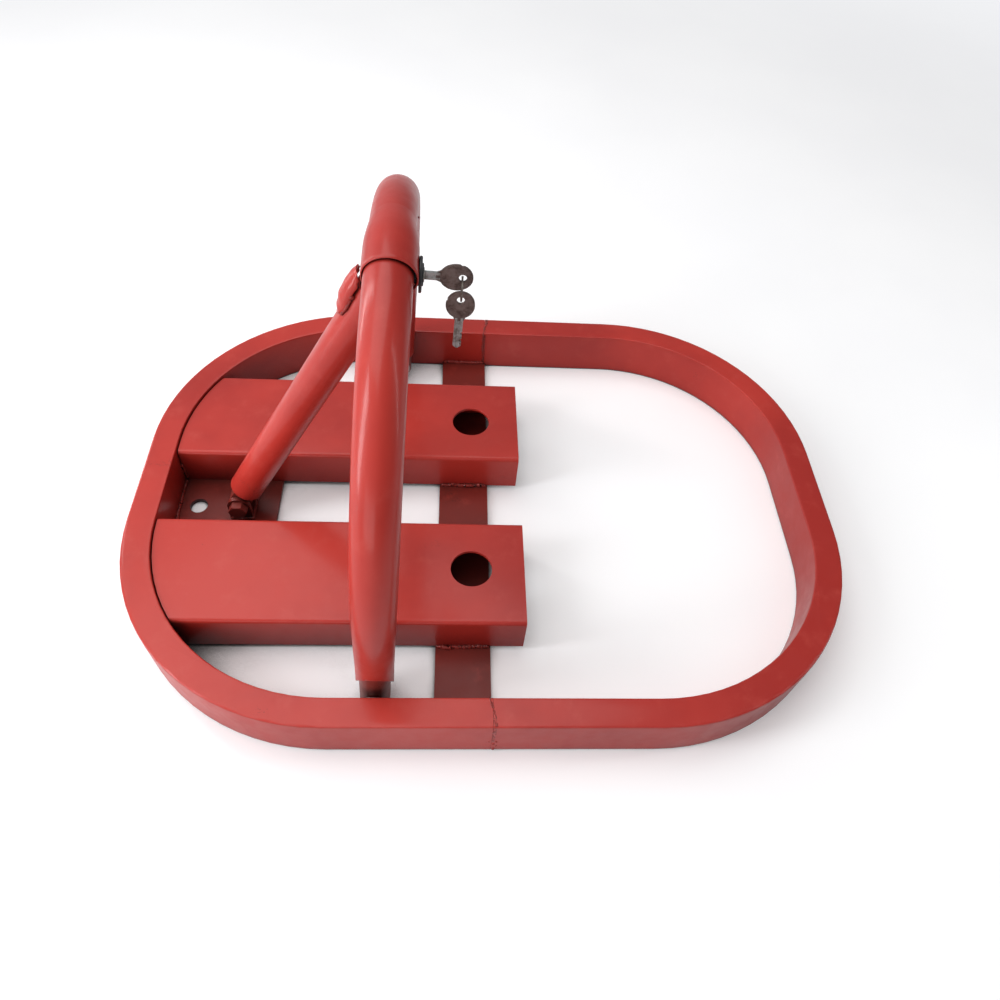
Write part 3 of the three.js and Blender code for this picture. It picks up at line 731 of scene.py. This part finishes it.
def shade_cut_edges(tube):
    """Gives the raw cut faces of both feet, and the bore just inside them, a near-black look: painted shade
    for the dark line at each foot's end.
    """
    tube.data.materials.append(CUT_EDGE_SHADE)
    to_hoop = HOOP.inverted()
    for face in tube.data.polygons:
        centre = to_hoop @ face.center / MM
        out = abs(centre.y) - FOOT_Y
        if centre.z > NOTCH_TOP + 2 or out < -0.5:
            continue
        from_axis = math.hypot(centre.x, out)
        if from_axis < FOOT_RADIUS - 0.35:
            face.material_index = 1


def add_hoop():
    tube = to_object("hoop_tube_skin", hoop_shell(), HOOP)
    carve(tube, tongue_slot(), HOOP)
    carve(tube, barrel_hole(), LOCK)
    carve(tube, foot_notches(), HOOP)
    dress(tube, "hoop", ENAMEL, ["hoop_tube"])
    shade_cut_edges(tube)
    collar = to_object("lock_sleeve_skin", sleeve_shell(), HOOP)
    carve(collar, tongue_slot(), HOOP)
    carve(collar, barrel_hole(), LOCK)
    dress(collar, "hoop", ENAMEL, ["lock_sleeve"], sharp=50)


# ---- weld beads --------------------------------------------------------------------


def resampled(path, step):
    """Points every step millimetres along a polyline."""
    path = [Vector(point) for point in path]
    out = [path[0]]
    left = step
    for a, b in zip(path, path[1:]):
        length = (b - a).length
        done = 0.0
        while length - done >= left:
            done += left
            out.append(a.lerp(b, done / length))
            left = step
        left -= length - done
    return out


def bead(path, radius, dice, pitch=2.0, sides=10, wander=0.3):
    """One run of weld: a lumpy tube along path whose ripples overlap every pitch."""
    step = 0.4
    points = resampled(path, step)
    ripples = [dice.uniform(0.78, 1.18) for _ in range(int(len(points) * step / pitch) + 2)]
    drift = Vector()
    for i, point in enumerate(points):
        drift = drift * 0.93 + Vector(dice.gauss(0, wander * 0.35) for _ in range(3))
        points[i] = point + drift
    rings = []
    for i, point in enumerate(points):
        ahead = points[min(i + 1, len(points) - 1)] - points[max(i - 1, 0)]
        ahead.normalize()
        aside = ahead.orthogonal().normalized()
        other = ahead.cross(aside)
        turn = i * step / pitch
        scallop = 0.84 + 0.22 * (1 - (turn % 1)) ** 0.6
        taper = min(1.0, (i + 1) * step / radius, (len(points) - i) * step / radius)
        size = radius * scallop * ripples[int(turn)] * math.sqrt(max(0.08, taper))
        angles = [2 * math.pi * k / sides for k in range(sides)]
        rings.append([point + (aside * math.cos(a) + other * math.sin(a)) * size for a in angles])
    return skin(rings)


def circle_path(height, radius, steps=48):
    """A full turn about Z."""
    angles = [2 * math.pi * i / steps for i in range(steps + 1)]
    return [Vector((radius * math.cos(a), radius * math.sin(a), height)) for a in angles]


def blob(centre, radius, squash=0.6, sides=10):
    """A small round drop, flattened along Z."""
    rows = 6
    profile = [(math.cos(math.pi * i / rows) * radius * squash, math.sin(math.pi * i / rows) * radius)
               for i in range(1, rows)]
    top, low = (radius * squash, 0), (-radius * squash, 0)
    return moved(lathe([top, *profile, low], sides), Matrix.Translation(Vector(centre)))


def add_welds(name, shells, place, body):
    made = to_object(name, merged(*shells), place)
    dress(made, body, WELD_ENAMEL, sharp=60)


def rail_seam(side, dice):
    """The butt seam round one side rail: two rough runs with a crack between them, and drips."""
    outer = RING_HALF_WIDTH - 0.7
    inner = RING_HALF_WIDTH - RAIL_WIDTH + 0.2
    top = RAIL_HEIGHT - 0.5
    corners = [(-1.6, outer, 1.6), (-0.4, outer, top - 1.2), (0, outer - 1.2, top),
               (-3.4, inner + 1.6, top), (-3.4, inner, top - 1.6), (-3.4, inner, 1.6)]
    runs = []
    for aside, radius in ((-0.75, 0.95), (0.75, 0.8)):
        path = [(RING_SEAM_X + 2 + x + aside, side * y, z) for x, y, z in corners]
        runs.append(bead(path, radius, dice, pitch=2.3, wander=0.28))
    for _ in range(9):
        x = RING_SEAM_X + dice.uniform(-5, 6)
        runs.append(blob((x, side * outer, dice.uniform(2, 24)), dice.uniform(0.9, 1.7), 0.9))
    return merged(*runs)


def cover_walls():
    """The y of each cover's two side walls, outer faces, with the way that they face."""
    walls = []
    for name in ("anchor_cover_front", "anchor_cover_back"):
        low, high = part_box(name)
        walls += [(low.y / MM, -1), (high.y / MM, 1)]
    return walls


def ring_inner_x(y):
    """Where the ring's inner wall is, on its left side, at y."""
    radius = RING_CORNER - RAIL_WIDTH
    straight = RING_HALF_WIDTH - RING_CORNER
    beyond = max(0.0, abs(y) - straight)
    return -(RING_HALF_LENGTH - RING_CORNER) - math.sqrt(radius ** 2 - beyond ** 2)


def add_base_welds():
    dice = random.Random(11)
    add_welds("ring_seam_welds", [rail_seam(side, dice) for side in (-1, 1)], WORLD, "base")

    low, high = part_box("cross_strap")
    span = (low.x / MM + 1, high.x / MM - 1)
    wall = RING_HALF_WIDTH - RAIL_WIDTH
    runs = []
    for side in (-1, 1):
        runs.append(bead([(x, side * (wall - 0.6), PLATE_TOP + 0.5) for x in span], 2.2, dice, 2.8))
    for y, facing in cover_walls():
        runs.append(bead([(x, y + facing * 0.8, PLATE_TOP + 0.8) for x in span], 2.4, dice, 3.1, wander=0.6))
    add_welds("strap_welds", runs, WORLD, "base")

    runs = []
    for y, facing in cover_walls():
        x = ring_inner_x(y) + 0.9
        runs.append(bead([(x, y + facing * 0.3, 6.5), (x, y + facing * 0.3, 30)], 1.7, dice))
    walls = [y for y, _ in cover_walls()]
    plate_x = ring_inner_x(0) + 0.6
    plate_edge = [(plate_x, y, PLATE_TOP + 0.5) for y in (walls[1] + 2, walls[2] - 2)]
    runs.append(bead(plate_edge, 1.9, dice))
    add_welds("cover_welds", runs, WORLD, "base")

    low, high = (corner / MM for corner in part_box("brace_bracket"))
    z = PLATE_TOP + 0.7
    corners = [(low.x, low.y), (high.x, low.y), (high.x, high.y), (low.x, high.y), (low.x, low.y)]
    corners = [(x, y, z) for x, y in corners]
    add_welds("bracket_welds", [bead(corners, 1.8, dice)], WORLD, "base")


def add_hoop_welds():
    dice = random.Random(23)
    drops = []
    for along, around, size in ((0.520, 4, 1.1), (0.556, -6, 1.3), (0.482, 10, 0.9), (0.452, -2, 1.0)):
        centre, out = hoop_station(HOOP_LENGTH * along)
        angle = math.radians(around + dice.uniform(-1, 1))
        towards = Vector((1, 0, 0)) * math.cos(angle) + out * math.sin(angle)
        drops.append(blob(centre + towards * HOOP_RADIUS, size))
    add_welds("hoop_welds", drops, HOOP, "hoop")


# ---- brace ---------------------------------------------------------------------------


def curve_through(points, value):
    """Smooth interpolation of (place, size) points at value."""
    if value <= points[0][0]:
        return points[0][1]
    for (a, low), (b, high) in zip(points, points[1:]):
        if value <= b:
            share = (value - a) / (b - a)
            return low + (high - low) * share * share * (3 - 2 * share)
    return points[-1][1]


# Along the brace, (distance up it, x) of the plate's back, and (distance up it, half width).
SADDLE_BACK = [(266, -17.2), (274, -20.6), (284, -23.3), (294, -23.8), (302, -23.3), (309, -21.6)]
SADDLE_HALF = [(266, 4.0), (270, 8.2), (278, 10.8), (300, 10.8), (305, 9.2), (309, 5.5)]
SADDLE_THICKNESS = 2.5
SADDLE_BOW = 12.4


def saddle_shell():
    """A leaf of plate bent round the brace's upper side, its free end standing off."""
    steps, across = 34, 14
    rings = []
    start, end = SADDLE_BACK[0][0], SADDLE_BACK[-1][0]
    for i in range(steps + 1):
        s = start + (end - start) * i / steps
        half = curve_through(SADDLE_HALF, s)
        back = curve_through(SADDLE_BACK, s)
        pinch = 0.35 + 0.65 * min(1, min(i, steps - i) / 3)
        outer, inner = [], []
        for k in range(across + 1):
            y = half * (2 * k / across - 1)
            drop = SADDLE_BOW - math.sqrt(SADDLE_BOW ** 2 - y * y)
            edge = 0.55 if k in (0, across) else 0
            outer.append(Vector((back + drop + edge, y, s)))
            inner.append(Vector((back + drop + SADDLE_THICKNESS * pinch - edge, y * 0.96, s)))
        rings.append(outer + inner[::-1])
    return skin(rings)


def add_brace():
    dice = random.Random(31)
    plate = to_object("brace_saddle_skin", saddle_shell(), BRACE)
    dress(plate, "brace", ENAMEL, ["brace_saddle"], sharp=50)
    edges = []
    for side in (-1, 1):
        path = [(-14.4, side * 8.6, 270), (-14.2, side * 9.8, 278), (-14.6, side * 9.4, 288)]
        edges.append(bead(path, 1.5, dice, pitch=3.2, wander=0.1))
    edges.append(blob((-15.2, -8.8, 290), 2.7, 0.9, 20))
    edges.append(blob((-15.2, 8.8, 290), 2.4, 0.9, 20))
    edges.append(bead(circle_path(BRACE_START - 0.4, 13.6), 1.3, dice))
    add_welds("brace_welds", edges, BRACE, "brace")


# ---- bolts, nuts and washers -----------------------------------------------------------

FASTENER_LOOKS = {"zinc_fasteners": ZINC, "red_enamel": SHADED_DULL_ENAMEL}


def chamfered_hex(name, flats, low, high, place, chamfer=1.2):
    """A hexagon whose corners are turned off in a cone at the high end."""
    made = to_object(name, hexagon(flats, low, high), place)
    corner = flats / math.sqrt(3)
    inside = flats / 2
    cone = [(low - 1, 0), (low - 1, corner + 1), (high - chamfer, corner + 0.2), (high, inside), (high, 0)]
    return carve(made, lathe(cone, 64), place, "INTERSECT")


def threaded(radius, low, high, smooth_to):
    """A shank whose far part, past smooth_to, has thread crests, and a turned-down tip."""
    pitch, depth = 1.5, 0.55
    profile = [(low, 0), (low, radius), (smooth_to, radius)]
    z = smooth_to
    while z + pitch < high - 1.2:
        profile += [(z + pitch * 0.45, radius - depth), (z + pitch * 0.55, radius - depth)]
        z += pitch
        profile.append((z, radius))
    profile += [(high - 1.0, radius - depth), (high, radius - depth - 0.8), (high, 0)]
    return lathe(profile, 40)


def joined(name, *pieces):
    """One object from several finished ones."""
    fresh = bmesh.new()
    for piece in pieces:
        fresh.from_mesh(piece.data)
    mesh = bpy.data.meshes.new(name)
    fresh.to_mesh(mesh)
    fresh.free()
    for piece in pieces:
        bpy.data.objects.remove(piece)
    made = bpy.data.objects.new(name, mesh)
    bpy.context.scene.collection.objects.link(made)
    return made


def washer(outer, hole, low, high):
    round_off = 0.3
    return lathe([(low, hole), (low, outer - round_off), (low + round_off, outer), (high - round_off, outer),
                  (high, outer - round_off), (high, hole)], 56, closed=True)


def bolt(name, node, place, flats, head, shank_radius, end, smooth_to, slot="zinc_fasteners"):
    """place puts the head's outer face at z 0, with the shank running towards +Z to end."""
    flipped = place @ Matrix.Rotation(math.pi, 4, "X")
    hex_head = chamfered_hex(name + "_head", flats, -head, 0, flipped)
    shank = to_object(name + "_shank", threaded(shank_radius, head - 0.5, end, smooth_to), place)
    made = joined(name, hex_head, shank)
    return dress(made, "base", FASTENER_LOOKS[slot], [node], rounding=0.15)


def nut(name, node, place, flats, thickness, hole, slot):
    made = chamfered_hex(name, flats, 0, thickness, place)
    carve(made, lathe([(-1, 0), (-1, hole), (thickness + 1, hole), (thickness + 1, 0)], 40), place)
    dress(made, "base", FASTENER_LOOKS[slot], [node], rounding=0.15)


def add_fasteners():
    """Each bolt lies along Y. The pivots' bolts point outwards, into the side rails."""
    for side, word in ((-1, "front"), (1, "back")):
        aim = ALONG_Y if side > 0 else Matrix.Rotation(math.pi / 2, 4, "X")
        low, high = (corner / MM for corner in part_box("pivot_bolt_" + word))
        inner = min(abs(low.y), abs(high.y))
        outer = max(abs(low.y), abs(high.y))
        place = Matrix.Translation((HOOP_PIVOT.x, side * inner * MM, HOOP_PIVOT.z)) @ aim
        bolt("pivot_bolt_skin_" + word, "pivot_bolt_" + word, place, 18, 8, 6, outer - inner, 34)
        for kind in ("washer", "spacer"):
            node = f"pivot_{kind}_{word}"
            low, high = (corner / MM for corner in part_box(node))
            start, end = sorted((abs(low.y), abs(high.y)))
            ring_place = Matrix.Translation((HOOP_PIVOT.x, side * start * MM, HOOP_PIVOT.z)) @ aim
            made = to_object(f"pivot_{kind}_skin_{word}", washer(12, 6.4, 0, end - start), ring_place)
            dress(made, "base", ZINC, [node])
    low, high = (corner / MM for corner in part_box("brace_pin"))
    place = Matrix.Translation((BRACE_PIVOT.x, low.y * MM, BRACE_PIVOT.z)) @ ALONG_Y
    bolt("brace_pin_skin", "brace_pin", place, 16, 7.5, 5, high.y - low.y, 38, "red_enamel")
    low, high = (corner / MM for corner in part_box("brace_pin_nut"))
    place = Matrix.Translation((BRACE_PIVOT.x, low.y * MM, BRACE_PIVOT.z)) @ ALONG_Y
    nut("brace_pin_nut_skin", "brace_pin_nut", place, 16, high.y - low.y, 5.3, "red_enamel")


# ---- lock, keys and key ring --------------------------------------------------------------


def add_lock():
    place = LOCK @ ALONG_X
    disc = lathe([(20.7, 8.3), (20.7, 12.2), (21.2, 12.8), (22.2, 12.8), (22.9, 12.3), (23.0, 11.6),
                  (22.7, 10.8), (22.7, 9.4), (23.0, 8.9), (23.0, 8.3)], 72, closed=True)
    dress(to_object("lock_flange_skin", disc, place), "hoop", BLACK, ["lock_flange"])
    housing = lathe([(4, 5.7), (4, 7.6), (4.4, 8), (23.5, 8), (24.0, 7.5), (24.0, 6.4), (23.7, 5.9),
                     (23.4, 5.7)], 64, closed=True)
    dress(to_object("lock_barrel_skin", housing, place), "hoop", BLACK, ["lock_barrel"])
    plug = lathe([(-1.4, 0), (-1.4, 3.1), (-1.0, 3.5), (2.8, 3.5), (2.8, 5.0), (3.1, 5.3), (24.1, 5.3),
                  (24.6, 4.8), (24.6, 0)], 56)
    made = to_object("lock_plug_skin", plug, place)
    way = [(6.1, -3.6), (6.1, 3.6), (26, 3.6), (26, -3.6)]
    carve(made, prism(way, -1.25, 1.25), LOCK)
    dress(made, "lock_plug", STEEL, ["lock_plug"])


def bow_outline():
    """The key's flat outline in (x, z), from the shoulder round the bow, with a nick at its top."""
    steps, open_angle = 72, 2.7
    nick_at, nick_half, nick_depth = 1.26, 0.11, 0.08
    outline = []
    for i in range(steps + 1):
        angle = -open_angle + 2 * open_angle * i / steps
        near = abs(angle - nick_at) / nick_half
        share = 1 - (nick_depth * (1 - near) if near < 1 else 0)
        outline.append((KEY_BOW_X + KEY_BOW_HALF[0] * share * math.cos(angle),
                        KEY_BOW_HALF[1] * share * math.sin(angle)))
    outline += [(KEY_SHOULDER_X + 1.6, 3.8), (KEY_SHOULDER_X, KEY_BLADE_HALF)]
    outline += [(KEY_SHOULDER_X, -KEY_BLADE_HALF), (KEY_SHOULDER_X + 1.6, -3.8)]
    return outline


def blade_shell():
    """The blade: a bar with a milled groove down each face, and a pointed tip."""
    half, thick, groove, depth = KEY_BLADE_HALF, 1.0, 0.95, 0.42
    section = [(-thick, -half), (-thick, -groove - 0.4), (-thick + depth, -groove), (-thick + depth, groove),
               (-thick, groove + 0.4), (-thick, half), (thick, half), (thick, groove + 0.4),
               (thick - depth, groove), (thick - depth, -groove), (thick, -groove - 0.4), (thick, -half)]
    stations = [(KEY_TIP, 0.12), (KEY_TIP + 1.2, 0.62), (KEY_TIP + 2.5, 1.0), (KEY_SHOULDER_X + 3, 1.0)]
    return skin([[Vector((x, y, z * share)) for y, z in section] for x, share in stations])


def key_cuts():
    """One saw-edged prism that takes V cuts of several depths from the blade's lower edge."""
    low = -KEY_BLADE_HALF
    outline = [(KEY_TIP + 1, low - 2), (KEY_TIP + 1, low - 0.5)]
    for i, depth in enumerate((1.3, 2.0, 0.9, 1.7)):
        x = KEY_TIP + 4.2 + 3.4 * i
        half = 0.45 + depth * 0.6
        outline += [(x - half, low - 0.02), (x - 0.45, low + depth)]
        outline += [(x + 0.45, low + depth), (x + half, low - 0.02)]
    outline += [(KEY_TIP + 18, low - 0.5), (KEY_TIP + 18, low - 2)]
    return prism(outline, -3, 3)


def rim_shell(start, end):
    """A raised edge round part of the bow, between two angles."""
    steps, sides = 60, 10
    rings = []
    for i in range(steps + 1):
        angle = start + (end - start) * i / steps
        out = Vector((math.cos(angle), 0, math.sin(angle)))
        middle = Vector((KEY_BOW_X + (KEY_BOW_HALF[0] - 0.7) * out.x, 0, (KEY_BOW_HALF[1] - 0.7) * out.z))
        ring = []
        for k in range(sides):
            lean = 2 * math.pi * k / sides
            ring.append(middle + out * 0.6 * math.cos(lean) + Vector((0, 1.05 * math.sin(lean), 0)))
        rings.append(ring)
    return skin(rings)


def key_object(name, place):
    bow = to_object(name + "_bow", prism(bow_outline(), -0.78, 0.78), place)
    eye = moved(lathe([(-4, 0), (-4, KEY_EYE_RADIUS), (4, KEY_EYE_RADIUS), (4, 0)], 40), ALONG_Y)
    eye_place = place @ Matrix.Translation(Vector((KEY_EYE_X, 0, 0)) * MM)
    carve(bow, eye, eye_place)
    blade = to_object(name + "_blade", blade_shell(), place)
    carve(blade, key_cuts(), place)
    rim = to_object(name + "_rim", merged(*(rim_shell(*span) for span in ((-2.6, 1.1), (1.42, 2.6)))), place)
    eyelet = moved(lathe([(0.95 * math.sin(a), KEY_EYE_RADIUS + 0.5 + 0.5 * math.cos(a))
                          for a in [2 * math.pi * k / 10 for k in range(10)]], 40, closed=True), ALONG_Y)
    collar = to_object(name + "_eyelet", eyelet, eye_place)
    key = joined(name, bow, blade, rim, collar)
    to_key = place.inverted()
    for face in key.data.polygons:
        face.material_index = int((to_key @ face.center).x / MM < KEY_SHOULDER_X + 1)
    return key


def split_ring_shell():
    """Two close turns of flattened wire, in the YZ plane about X."""
    turns, steps, sides = 2.0, 150, 12
    wire_x, wire_r = 0.46, 0.62
    rings = []
    for i in range(steps + 1):
        share = i / steps
        angle = math.pi * 0.3 + turns * 2 * math.pi * share
        out = Vector((0, math.cos(angle), math.sin(angle)))
        end = min(1, min(share, 1 - share) * steps / 2 + 0.35)
        middle = out * KEY_RING_RADIUS + Vector((-0.48 + 0.96 * share, 0, 0))
        ring = []
        for k in range(sides):
            turn = 2 * math.pi * k / sides
            aside = Vector((wire_x * math.cos(turn), 0, 0))
            ring.append(middle + (aside + out * wire_r * math.sin(turn)) * end)
        rings.append(ring)
    return skin(rings)


def add_keys():
    key = key_object("lock_key_skin", LOCK)
    dress(key, "key", (KEY_METAL, BLADE_METAL), ["lock_key"])
    ring_centre = Vector((KEY_EYE_X, 0, -KEY_RING_REST - KEY_RING_RADIUS + 0.1)) * MM
    ring = to_object("key_ring_skin", split_ring_shell(), LOCK @ Matrix.Translation(ring_centre))
    dress(ring, "key_ring", RING_STEEL, ["key_ring"])
    drop = 2 * (KEY_RING_REST + KEY_RING_RADIUS)
    hang = LOCK @ Matrix.Translation(Vector((KEY_EYE_X, 0, -drop)) * MM)
    hang = hang @ Matrix.Rotation(-math.pi / 2, 4, "Y") @ Matrix.Translation(Vector((-KEY_EYE_X, 0, 0)) * MM)
    spare = key_object("spare_key_skin", hang)
    dress(spare, "spare_key", (KEY_METAL, BLADE_METAL), ["spare_key"])


# ---- the scene --------------------------------------------------------------------------------

add_camera()
add_lights()
bpy.context.scene.view_settings.view_transform = "Standard"
add_floor()
finish_cad_nodes()
add_hoop()
add_base_welds()
add_hoop_welds()
add_brace()
add_fasteners()
add_lock()
add_keys()
